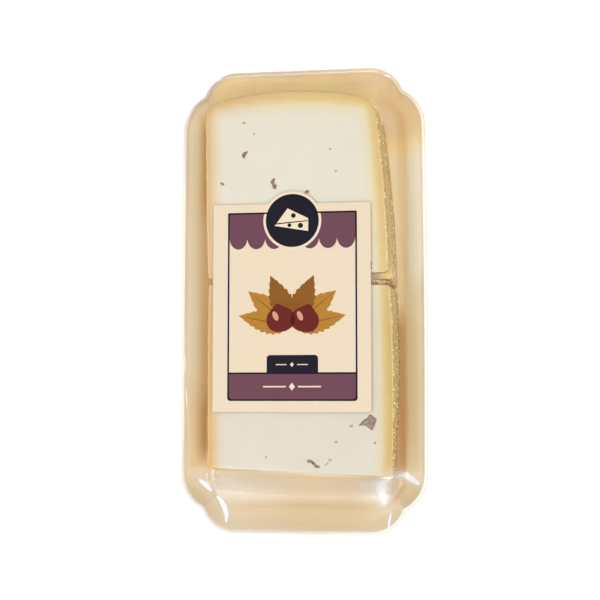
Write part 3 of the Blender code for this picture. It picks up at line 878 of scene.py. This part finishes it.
# painted shade: the bar is coloured as the shaded cut faces in the gap
gap_shade_paint, gap_shade_paint_shader = new_finish("gap_shade_paint", Roughness=0.7)
gap_shade_tones = tones((0.34, 140, 104, 62), (0.44, 198, 164, 112), (0.7, 214, 186, 138))
wire(gap_shade_paint, gap_shade_paint_shader, Base_Color=ramp(gap_shade_paint, noise(gap_shade_paint, 700.0, 3.0), gap_shade_tones))
gap_shade_bar = build_gap_shade_bar()
for name, piece in (("chips", chips), ("crumbs", crumbs), ("gap shade bar", gap_shade_bar)):
    print(name, len(piece.data.polygons), "faces")

# %% [markdown]
# ## Skin film
#
# Clear film is warmed, laid over the pack and sucked down by a vacuum, so it lies tight on the
# slices, drops at their sides, and follows the tray's floor and wall up to the lip, where it is
# sealed. At the free lower end it spans the corner as a tent. A cloth simulation could drape it, but
# the shape is known: for each direction from the middle the film's height is a function of how far
# out a point is. Real film is too thin to bend light, so its shader lets light straight through. On
# top comes a gloss, by how freely the film spans, and a painted light: a white diffuse that always
# faces straight up, plus a faint glow, which stands in for the film's pale reflections, in places
# that a number at each point gives.

# %% Film material
clear, clear_shader = new_finish("clear_film")
nodes, links = clear.node_tree.nodes, clear.node_tree.links
nodes.remove(clear_shader)
dent = dented(clear, noise(clear, 260.0, 3.0), 0.10, 0.0004)
spans = attribute(clear, "spans")
softness = math(clear, "SUBTRACT", 0.35, math(clear, "MULTIPLY", spans, 0.27))
sheen = node(clear, "BsdfGlossy", {"Color": (1, 1, 1, 1), "Roughness": softness, "Normal": dent}).outputs[0]
through = node(clear, "BsdfTransparent", {"Color": (0.985, 0.985, 0.98, 1)}).outputs[0]
# painted light on the film: a white diffuse that always faces straight up, plus a glow, stands in for the film's
# reflections
upward = node(clear, "CombineXYZ", {"Z": 1.0}).outputs[0]
painted_white = node(clear, "BsdfDiffuse", {"Color": (0.95, 0.93, 0.9, 1), "Normal": upward}).outputs[0]
painted_glow = node(clear, "Emission", {"Color": (1.0, 0.98, 0.95, 1), "Strength": 0.3}).outputs[0]
painted_veil = node(clear, "AddShader", {0: painted_white, 1: painted_glow}).outputs[0]
grazing = node(clear, "LayerWeight", {"Blend": 0.5, "Normal": dent}).outputs["Facing"]
edge_gloss = math(clear, "MULTIPLY", math(clear, "MULTIPLY", spans, 0.08), math(clear, "POWER", grazing, 5.0))
gloss = math(clear, "ADD", math(clear, "MULTIPLY", spans, 0.065), edge_gloss)
body = node(clear, "MixShader", {0: attribute(clear, "painted_light"), 1: through, 2: painted_veil}).outputs[0]
film_look = node(clear, "MixShader", {0: gloss, 1: body, 2: sheen}).outputs[0]
links.new(film_look, nodes["Material Output"].inputs["Surface"])

# %% Folds: path in millimetres, half width, strength of the painted highlight and how blunt the ends are
FOLDS = (
    (((-46.5, -77.6), (-45.0, -79.3), (-43.4, -80.9), (-41.6, -83.4)), 1.3, 1.0, 0.4),
    (((-39.6, -85.1), (-37.5, -87.4), (-35.3, -90.2), (-33.9, -92.9), (-33.3, -96.0)), 1.45, 1.0, 0.4),
    (
        ((38.3, -75.0), (35.6, -76.2), (34.2, -78.3), (33.4, -80.6), (33.0, -83.0), (33.4, -86.0), (34.2, -88.6)),
        3.5, 1.0, 0.75,
    ),
    (((39.6, -75.2), (41.4, -75.0), (43.3, -75.5), (45.4, -76.5), (47.4, -77.7), (49.5, -78.7)), 2.1, 1.0, 0.4),
    (((37.0, -90.2), (36.8, -92.6), (36.4, -94.5), (36.5, -97.2)), 0.85, 1.0, 0.5),
    (((35.0, 96.6), (36.8, 96.2), (38.6, 95.2)), 0.4, 0.9, 0.5),
    (((-38.6, 96.4), (-37.1, 97.1), (-35.4, 97.4)), 0.35, 0.8, 0.5),
    (((-51.9, -20.7), (-51.5, -27.0), (-51.2, -33.0)), 0.35, 0.6, 0.5),
    (((-51.2, -36.5), (-50.9, -42.0), (-50.6, -48.4)), 0.4, 0.6, 0.5),
    (((-46.0, -24.9), (-45.4, -25.1)), 0.2, 0.5, 0.5),
    (((-46.1, -37.2), (-46.0, -38.3)), 0.2, 0.5, 0.5),
    (((-45.4, -39.5), (-45.5, -40.4)), 0.2, 0.5, 0.5),
    (((-46.1, -44.0), (-45.9, -44.7)), 0.2, 0.5, 0.5),
)


def smooth_path(path, count=90, passes=50):
    """A path made even and round: points spread evenly along it, then averaged with their neighbours over and over."""
    path = np.array(path) * 0.001
    run = np.concatenate([[0], np.cumsum(np.linalg.norm(np.diff(path, axis=0), axis=1))])
    at = np.linspace(0, run[-1], count)
    dense = np.stack([np.interp(at, run, path[:, k]) for k in range(2)], 1)
    for _ in range(passes):
        dense[1:-1] = 0.25 * dense[:-2] + 0.5 * dense[1:-1] + 0.25 * dense[2:]
    return dense


# %% Film mesh
FILM_LIES = 0.00062
TENT = 0.0105
FLAT_SHARES = (0.02, 0.1, 0.2, 0.3, 0.4, 0.5, 0.58, 0.66, 0.73, 0.79, 0.84, 0.88, 0.91, 0.94, 0.96, 0.98, 1.0)
SHOULDER_RINGS, DROP_RINGS, BASIN_RINGS = 5, 14, 37


def film_grid():
    """Rings from the middle: flat on the stacks, down to the slipped slices, down their sides, over the basin. Also
    how free each direction is at the low end, where the film spans the corner."""
    lip = lobed_ring(1.0)
    far = np.linalg.norm(lip, axis=1)
    unit = lip / far[:, None]
    outlines = {}
    for name, (corners, base, corner, bow) in places.items():
        width, length = np.hypot(*(corners[1] - corners[0])), np.hypot(*(corners[3] - corners[0]))
        outlines[name] = bend(square_outline(width, length, CUT_CORNER, corner, 24), corners, bow)
    tops = reach_of([outlines["upper_slice_5"], outlines["lower_slice_5"]], unit)
    alls = reach_of(list(outlines.values()), unit)
    low_end = ease(0.68, 0.94, -unit[:, 1])
    flat_to = tops - 0.0008
    shoulder = alls + 0.0007
    foot = shoulder + mix(0.0018, TENT, low_end)
    top = STACK_TOP + FILM_LIES
    shoulder_top = top - np.minimum(0.9 * (shoulder - flat_to - 0.0015).clip(0), 0.0035)
    radii, heights = [], []
    for share in FLAT_SHARES:
        radii.append(flat_to * share)
        heights.append(np.full(len(far), top))
    for share in np.linspace(0, 1, SHOULDER_RINGS + 1)[1:]:
        radii.append(mix(flat_to, shoulder, share))
        heights.append(mix(top, shoulder_top, share**1.6))
    for share in np.linspace(0, 1, DROP_RINGS + 1)[1:]:
        radius = mix(shoulder, foot, share)
        ground = basin_height(unit * radius[:, None]) + 0.0006
        fall = mix((1 - share) ** 2.6, (1 - share) ** 1.35, low_end)
        radii.append(radius)
        heights.append(ground + (shoulder_top - ground) * fall)
    for share in np.linspace(0, 1, BASIN_RINGS + 1)[1:]:
        radius = mix(foot, far, share)
        radii.append(radius)
        ground = basin_height(unit * radius[:, None], 0.0065) + 0.0005
        heights.append(np.minimum(ground, TRAY_HEIGHT + 0.0003))
    plan = [unit * radius[:, None] for radius in radii]
    for grow in (0.25, 0.5, 0.75, 0.9):
        plan.append(lobed_ring(1.0, LIP_WIDTH * grow))
        heights.append(np.full(len(far), TRAY_HEIGHT + 0.0003))
    plan, heights = np.stack(plan), np.stack(heights)
    heights += 0.00003 * lattice_noise(plan, 0.006, 61)
    return np.concatenate([plan, heights[..., None]], -1), low_end


def film_painted_light(x, y):
    """The share of painted light on the film, which stands in for its pale reflections: over the tent, in two
    plumes that run down from the low corners, near the folds, and a little on the left wall."""
    tent = ease(-0.0742, -0.0790, y) * ease(-0.090, -0.082, y) * ease(0.042, 0.034, np.abs(x))
    inner_left = ease(0.0, 0.0016, (x + 0.0464) * 0.81 + (y + 0.0777) * 0.585 - 0.0006)
    left_plume = inner_left * ease(0.0, -0.036, x) * ease(-0.0722, -0.0760, y) * mix(0.45, 1.0, ease(-0.092, -0.082, y))
    right_plume = ease(0.016, 0.032, x) * ease(0.0385, 0.0335, x) * ease(-0.0742, -0.0785, y) * ease(-0.093, -0.083, y)
    plan = np.stack([x, y], -1)
    near_fold = np.zeros(x.shape)
    for path, half_width, *_ in FOLDS[:5]:
        gaps = np.linalg.norm(plan[:, :, None] - smooth_path(path, 24)[None, None], axis=-1).min(-1)
        near_fold = np.maximum(near_fold, np.minimum(half_width / 2.7, 1) * np.exp(-((gaps / 0.0035) ** 2)))
    left_wall = ease(-0.0435, -0.0475, x) * ease(-0.058, -0.035, y) * ease(0.03, 0.0, y)
    # painted light: the share of the upward-facing white and glow at each point
    painted_light = 0.01 + 0.12 * tent + 0.24 * left_plume + 0.3 * right_plume + 0.25 * near_fold + 0.05 * left_wall
    return painted_light * ease(0.0, -0.010, y - 0.035)


def build_film():
    """The film's rings as one open sheet. It spans nothing where it lies on the stacks, and glosses least there."""
    grid, low_end = film_grid()
    piece = skin("skin_film", grid, clear, ends=(True, False))
    mark(piece, "painted_light", film_painted_light(grid[..., 0], grid[..., 1]))
    spans = np.ones(grid.shape[:2])
    on_stacks = len(FLAT_SHARES) + SHOULDER_RINGS
    spans[:on_stacks] = 0.18
    spans[on_stacks : on_stacks + DROP_RINGS] = low_end
    mark(piece, "spans", spans)
    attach(piece, "root")
    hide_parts("film")
    return piece


film = build_film()
print("film", len(film.data.polygons), "faces")

# %% [markdown]
# Where the vacuum gathers the film at the corners it stands up in small folds, which show as white
# strokes. Each fold is a ribbon along a smoothed path that is dropped onto the film: arched across,
# tapered to nothing at both ends, and whitest along its middle, where it carries a painted highlight:
# the film's upward-facing white and faint glow, not a reflection of the lamps. It has no gloss, since
# that would edge it in gray. Bumps in the film's own mesh would need points ten times closer to stay
# this crisp.

# %% Folds at the corners
def build_folds():
    """Ribbons along the paths: half width and arch both follow the root of a sine, which is zero at each end."""
    surface = BVHTree.FromPolygons([v.co for v in film.data.vertices], [p.vertices for p in film.data.polygons])
    across = np.linspace(-1, 1, 15)
    points, faces, painted_highlight = [], [], []
    for k, (path, half_width, strength, bluntness) in enumerate(FOLDS):
        line = smooth_path(path)
        heading = np.gradient(line, axis=0)
        heading /= np.linalg.norm(heading, axis=1, keepdims=True)
        sideways = np.stack([heading[:, 1], -heading[:, 0]], 1)
        along = np.linspace(0, 1, len(line))
        taper = np.sin(np.pi * np.clip(along, 0.001, 0.999)) ** bluntness
        wobble = 1 + 0.10 * lattice_noise(line, 0.0016, 70 + k)
        half = half_width * 0.001 * taper * wobble
        plan = line[:, None] + sideways[:, None] * (across[None, :, None] * half[:, None, None])
        hits = [surface.ray_cast(Vector((x, y, 0.1)), Vector((0, 0, -1)))[0] for x, y in plan.reshape(-1, 2)]
        drop = np.array([hit.z if hit else TRAY_HEIGHT for hit in hits]).reshape(plan.shape[:2])
        drop = np.maximum(drop, drop[:, 7:8] - 0.0001)
        arch = 0.00010 + 0.12 * half[:, None] * (1 - across**2)
        start = sum(len(p) for p in points)
        points.append(np.concatenate([plan, (drop + arch)[..., None]], -1).reshape(-1, 3))
        number = start + np.arange(plan.shape[0] * plan.shape[1]).reshape(plan.shape[:2])
        four = np.stack([number[:-1, :-1], number[:-1, 1:], number[1:, 1:], number[1:, :-1]], -1)
        faces += four.reshape(-1, 4).tolist()
        # painted highlight along the middle of each fold
        painted_highlight.append((strength * np.sqrt(taper)[:, None] * (1 - across**2) ** 1.3).ravel())
    data = bpy.data.meshes.new("film_folds")
    data.from_pydata(np.concatenate(points).tolist(), [], faces)
    data.shade_smooth()
    data.materials.append(clear)
    piece = bpy.data.objects.new("film_folds", data)
    piece.visible_shadow = False
    bpy.context.scene.collection.objects.link(piece)
    mark(piece, "painted_light", np.concatenate(painted_highlight))
    mark(piece, "spans", np.zeros(len(data.vertices)))
    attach(piece, "root")
    return piece


folds = build_folds()
print("folds", len(folds.data.polygons), "faces")

# %% [markdown]
# ## Label
#
# The label is die-cut paper: a rectangle with a round shoulder for its badge, printed in flat inks.
# An image texture would blur close up, so each field of ink is its own thin patch a few hundredths
# of a millimetre above the paper, and the lift says which ink lies on which. A patch is an outline
# shrunk ring by ring to its middle, and all of them follow the paper's height, which dips a little
# along the gap between the stacks.

# %% Label sizes, in metres
LABEL_WIDTH, LABEL_LENGTH, LABEL_CENTRE = 0.0670, 0.0878, (-0.0033, -0.0045)
BADGE_CENTRE, BADGE_RADIUS = np.array([-0.0029, 0.0322]), 0.0125
LABEL_TOP, PAPER = 0.02622, 0.00014
GAP_AT = 0.0068


def label_height(points):
    """Height of the paper's face: level, with a shallow groove over the gap and a slight waviness."""
    groove = 0.00010 * np.exp(-(((points[..., 1] - GAP_AT) / 0.0009) ** 2))
    return LABEL_TOP - groove + 0.00001 * lattice_noise(points, 0.012, 71)


def patch(outline, lift=0.0, thickness=PAPER, rings=24):
    """A thin plate: the outline shrunk to its middle above, and back out below."""
    middle = outline.mean(0)
    shares = np.concatenate([[0.01], np.linspace(0, 1, rings)[1:]])
    plan = middle + (outline - middle)[None] * shares[:, None, None]
    upper = np.concatenate([plan, (label_height(plan) + lift)[..., None]], -1)
    lower = upper[::-1] - (0, 0, thickness)
    return np.concatenate([upper, lower])


def resampled(corners, count):
    """Points spread evenly along a closed outline."""
    closed = np.concatenate([corners, corners[:1]])
    run = np.concatenate([[0], np.cumsum(np.linalg.norm(np.diff(closed, axis=0), axis=1))])
    at = np.linspace(0, run[-1], count, endpoint=False)
    return np.stack([np.interp(at, run, closed[:, k]) for k in (0, 1)], 1)


def box_outline(x0, y0, x1, y1, radii=(0.0006,) * 4):
    """A rectangle with rounded corners: low right, high right, high left, low left."""
    centres = ((x1, y0, 1, -1, -90), (x1, y1, 1, 1, 0), (x0, y1, -1, 1, 90), (x0, y0, -1, -1, 180))
    points = []
    for radius, (x, y, side_x, side_y, start) in zip(radii, centres):
        turn = np.radians(np.linspace(start, start + 90, 9))
        centre = (x - side_x * radius, y - side_y * radius)
        points.append(centre + radius * np.stack([np.cos(turn), np.sin(turn)], 1))
    return np.concatenate(points)


def disc_outline(centre, radius, count=180):
    """A circle."""
    turn = np.linspace(0, 2 * np.pi, count, endpoint=False)
    return np.array(centre) + radius * np.stack([np.cos(turn), np.sin(turn)], 1)


def paper_outline():
    """The die-cut edge: a rectangle whose upper side gives way to the badge's circle."""
    low = np.array(LABEL_CENTRE) - (LABEL_WIDTH / 2, LABEL_LENGTH / 2)
    high = np.array(LABEL_CENTRE) + (LABEL_WIDTH / 2, LABEL_LENGTH / 2)
    start = np.arcsin((high[1] - BADGE_CENTRE[1]) / BADGE_RADIUS)
    turn = np.linspace(start, np.pi - start, 60)
    shoulder = BADGE_CENTRE + BADGE_RADIUS * np.stack([np.cos(turn), np.sin(turn)], 1)
    frame_box = box_outline(*low, *high)
    return np.concatenate([frame_box[:18], shoulder, frame_box[18:]])


# %% [markdown]
# The paper is a warm cream with a satin face, and the inks lie on it a little glossier. Real print
# has a faint grain, so each ink's tone varies a few percent with fine noise.

# %% Paper and inks
def ink(name, colour, roughness=0.55):
    """A flat print colour with a fine grain in tone and surface."""
    material, shader = new_finish(name, Roughness=roughness)
    shader.inputs["Specular IOR Level"].default_value = 0.05
    grain = noise(material, 1600.0, 3.0)
    tone = ramp(material, grain, [(0.3, (0.95, 0.95, 0.95, 1)), (0.7, (1.03, 1.03, 1.03, 1))])
    colour = blend(material, 1.0, colour, tone, "MULTIPLY")
    wire(material, shader, Base_Color=colour, Normal=dented(material, grain, 0.08, 0.0001))
    return material


paper = ink("label_paper", shade(217, 200, 175), 0.6)
ink_line = ink("ink_night", shade(19, 18, 33))
ink_plum = ink("ink_plum", shade(102, 64, 77))
ink_cream = ink("ink_cream", shade(222, 205, 178))
ink_gold = ink("ink_gold", shade(168, 118, 42))
ink_amber = ink("ink_amber", shade(131, 82, 26))
ink_nut = ink("ink_nut", shade(98, 30, 24))
ink_glint = ink("ink_glint", shade(200, 140, 119))

label = skin("paper_label", patch(resampled(paper_outline(), 420), 0.0, PAPER, 44), paper)
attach(label, "root")
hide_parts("label")

# %% [markdown]
# The print is a thin dark frame with a plum field at each end. The upper field ends in a row of
# scallops, each half an ellipse, so its edge is one curve and the field is the strip above it. The
# frame is a line with a hole in it, which a filled patch can't be, so it is its own closed ring.

# %% Print: frame, header, footer and badge
FRAME_LEFT, FRAME_RIGHT, FRAME_LOW, FRAME_HIGH = -0.0301, 0.0241, -0.0434, 0.0355
LINE = 0.00072
FOOTER_TOP, TAB_TOP, TAB_LEFT, TAB_RIGHT = -0.0322, -0.0246, -0.0137, 0.0080


def plated(plan, lift, thickness=0.00003):
    """Rings of a plate's face at this lift above the paper, and the same rings below it, back again."""
    top = np.concatenate([plan, (label_height(plan) + lift)[..., None]], -1)
    return np.concatenate([top, top[::-1] - (0, 0, thickness)])


def band(lower, upper, lift):
    """A strip between two curves of equal count, as a closed ring: along the lower one, back along the upper one."""
    rows = []
    for share in 0.5 * (np.linspace(0, 1, 6) * 0.98 + 0.02):
        rows.append(np.concatenate([mix(lower, upper, 0.5 - share), mix(lower, upper, 0.5 + share)[::-1]]))
    return plated(np.stack(rows), lift)


def line_ring(outer, inner, lift):
    """A thin closed line between two outlines of equal count, as the middle band of a plate with a hole."""
    rings = plated(np.stack([inner, mix(inner, outer, 0.5), outer]), lift)
    return np.concatenate([rings, rings[:1]])


def frame_box(grow):
    """The frame's outline, moved out by this much."""
    radii = (0.0012, 0.0002, 0.0002, 0.0012)
    return resampled(box_outline(FRAME_LEFT - grow, FRAME_LOW - grow, FRAME_RIGHT + grow, FRAME_HIGH + grow, radii), 400)


def box_plate(x0, y0, x1, y1, radii, lift, rings, thickness=0.00003):
    """A field of ink with the shape of a rounded rectangle."""
    return patch(resampled(box_outline(x0, y0, x1, y1, radii), 180), lift, thickness, rings)


def print_piece(name, grids, material):
    """Ink fields of one colour joined as one piece. They are thin plates, so their first and last rings close."""
    return gather(name, grids, material, "label_paper")


share = np.linspace(0, 1, 601)
SCALLOPS, SCALLOP_FOOT, SCALLOP_DEPTH = 7, 0.0250, 0.0048
header_x = mix(FRAME_LEFT + LINE / 2, FRAME_RIGHT - LINE / 2, share)
scallops = SCALLOP_FOOT - SCALLOP_DEPTH * np.sqrt(1 - (2 * ((share * SCALLOPS) % 1) - 1) ** 2)
header = band(np.stack([header_x, scallops], 1), np.stack([header_x, np.full(601, FRAME_HIGH)], 1), 0.00002)
footer = patch(resampled(box_outline(FRAME_LEFT, FRAME_LOW, FRAME_RIGHT, FOOTER_TOP), 200), 0.00002, 0.00003, 6)
print_piece("print_plum_fields", [header], ink_plum)
print_piece("print_plum_foot", [footer], ink_plum)
outer, inner = frame_box(LINE / 2), frame_box(-LINE / 2)
frame_line = skin("print_frame_line", line_ring(outer, inner, 0.00004), ink_line, ends=(False, False))
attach(frame_line, "root")
rule = box_plate(FRAME_LEFT, FOOTER_TOP - LINE / 2, FRAME_RIGHT, FOOTER_TOP + LINE / 2, (0.0001,) * 4, 0.00004, 4)
tab_edge = box_plate(TAB_LEFT, FOOTER_TOP, TAB_RIGHT, TAB_TOP, (0.0002, 0.0014, 0.0014, 0.0002), 0.00004, 6)
disc = patch(disc_outline(BADGE_CENTRE, 0.0113), 0.00005, 0.00003, 10)
print_piece("print_night_fields", [rule, tab_edge, disc], ink_line)
ring_plate = patch(disc_outline(BADGE_CENTRE, 0.01235), 0.00003, 0.00003, 10)
print_piece("print_badge_ring", [ring_plate], ink_cream)

# %% [markdown]
# The picture on the label is plain and generic: a fan of long toothed leaves with two nuts in front,
# and a wedge of cheese in the badge. Each leaf's half width is a sine of the way along it, with small
# teeth added, so the whole leaf is one closed outline.


# %% Print: leaves, nuts, wedge and ornament
def leaf_outline(length, half_width, degrees, foot, teeth=9, count=90):
    """A toothed leaf from its foot to its tip: half width is sin(pi t^0.8), plus a saw wave for the teeth."""
    t = np.linspace(0, 1, count)
    saw = (t * teeth) % 1.0
    half = half_width * np.sin(np.pi * t**0.8) * (0.86 + 0.2 * saw)
    right_side = np.stack([t * length, -half], 1)
    left_side = np.stack([t[::-1] * length, half[::-1]], 1)
    return turned(np.concatenate([right_side[:-1], left_side[:-1]]), degrees, foot)


def nut_outline(size, degrees, centre, count=178):
    """A nut: a circle flattened at its foot and drawn to a soft point at its top."""
    turn = np.linspace(0, 2 * np.pi, count, endpoint=False)
    tip = 0.24 * np.exp(-(((turn - np.pi / 2) / 0.28) ** 2))
    radius = 1 + tip - 0.12 * np.exp(-(((turn - 1.5 * np.pi) / 0.7) ** 2))
    return turned(size * np.stack([1.08 * radius * np.cos(turn), radius * np.sin(turn)], 1), degrees, centre)


LEAF_FOOT = (-0.0030, -0.0128)
LEAVES = (  # length, half width, turn in degrees; the last two lie behind
    (0.0232, 0.0050, 168), (0.0240, 0.0054, 141), (0.0240, 0.0054, 39),
    (0.0232, 0.0050, 12), (0.0236, 0.0052, 113), (0.0236, 0.0052, 67),
)
leaves, veins = [], []
for k, (length, half_width, degrees) in enumerate(LEAVES):
    leaves.append(patch(leaf_outline(length, half_width, degrees, LEAF_FOOT), 0.00002 + 0.000004 * k, 0.00002, 6))
    veins.append(patch(leaf_outline(length * 0.94, 0.00028, degrees, LEAF_FOOT, 1), 0.00003 + 0.000004 * k, 0.00002, 3))
print_piece("print_leaves", leaves[:4], ink_gold)
print_piece("print_leaves_back", leaves[4:], ink_amber)
print_piece("print_leaf_veins", veins, ink_amber)
nuts = [nut_outline(0.0056, 14, (-0.0078, -0.0098)), nut_outline(0.0056, -16, (0.0024, -0.0100))]
print_piece("print_nuts", [patch(outline, 0.00006, 0.00002, 8) for outline in nuts], ink_nut)
glint = disc_outline((0, 0), 1.0) * (0.0011, 0.0021)
glints = [turned(glint, 24, centre) for centre in ((-0.0100, -0.0082), (0.0004, -0.0082))]
print_piece("print_nut_glints", [patch(outline, 0.00008, 0.00002, 4) for outline in glints], ink_glint)
wedge = np.array([(-0.0075, -0.0022), (0.0068, -0.0046), (0.0068, 0.0008), (-0.0020, 0.0052)]) + BADGE_CENTRE
cut = np.array([(-0.0069, -0.0016), (0.0066, -0.0004), (0.0066, 0.0000), (-0.0068, -0.0011)]) + BADGE_CENTRE
holes = ((0.0035, -0.0022, 0.0011), (-0.0012, -0.0020, 0.0008), (0.0005, 0.0021, 0.0010))
dark = [resampled(cut, 180)] + [disc_outline(BADGE_CENTRE + (x, y), radius) for x, y, radius in holes]
print_piece("print_wedge", [patch(resampled(wedge, 180), 0.00007, 0.00002, 5)], ink_cream)
print_piece("print_wedge_holes", [patch(outline, 0.00009, 0.00002, 3) for outline in dark], ink_line)
bars = [box_outline(x, -0.0381, x + 0.0098, -0.0375, (0.0003,) * 4) for x in (-0.0153, -0.0005)]
bars += [box_outline(x, -0.0288, x + 0.0046, -0.0284, (0.0002,) * 4) for x in (-0.0098, -0.0008)]
diamond = np.array([(0, -1), (0.8, 0), (0, 1), (-0.8, 0)])
diamonds = [diamond * 0.0016 + (-0.0030, -0.0378), diamond * 0.0010 + (-0.0030, -0.0286)]
ornament = [patch(resampled(shape, 180), 0.00007, 0.00002, 3) for shape in bars + diamonds]
print_piece("print_ornament", ornament, ink_cream)
print("label", len(label.data.polygons), "faces")
